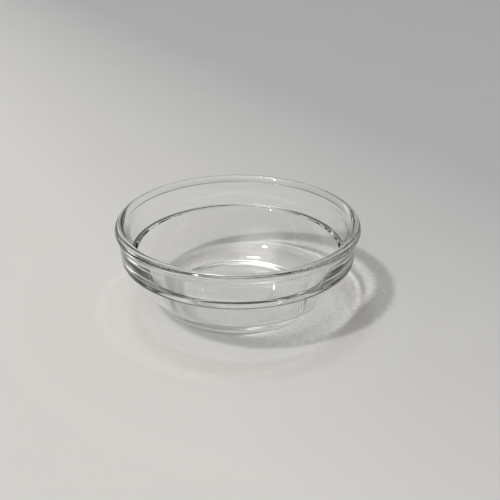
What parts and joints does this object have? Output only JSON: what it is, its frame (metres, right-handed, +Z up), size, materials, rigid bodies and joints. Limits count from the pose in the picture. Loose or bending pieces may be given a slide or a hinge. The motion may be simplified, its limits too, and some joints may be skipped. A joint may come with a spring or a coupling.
{
  "type": "prep bowl",
  "caption": "Small round prep bowl of clear pressed glass with a rolled rim, a straight upper band and a step under it, so that bowls of the same size stack",
  "frame": {"origin": "on the bowl's axis, at the level of the flat ring it stands on", "axes": "+Z up along the bowl's axis; the bowl is round, so +X and +Y are any two level directions"},
  "size_m": [0.09, 0.09, 0.0334],
  "materials": {
    "glass": "clear pressed glass, smooth and glossy, very faintly green where it is thick"
  },
  "bodies": {
    "root": {"bowl": "glass"}
  },
  "joints": []
}
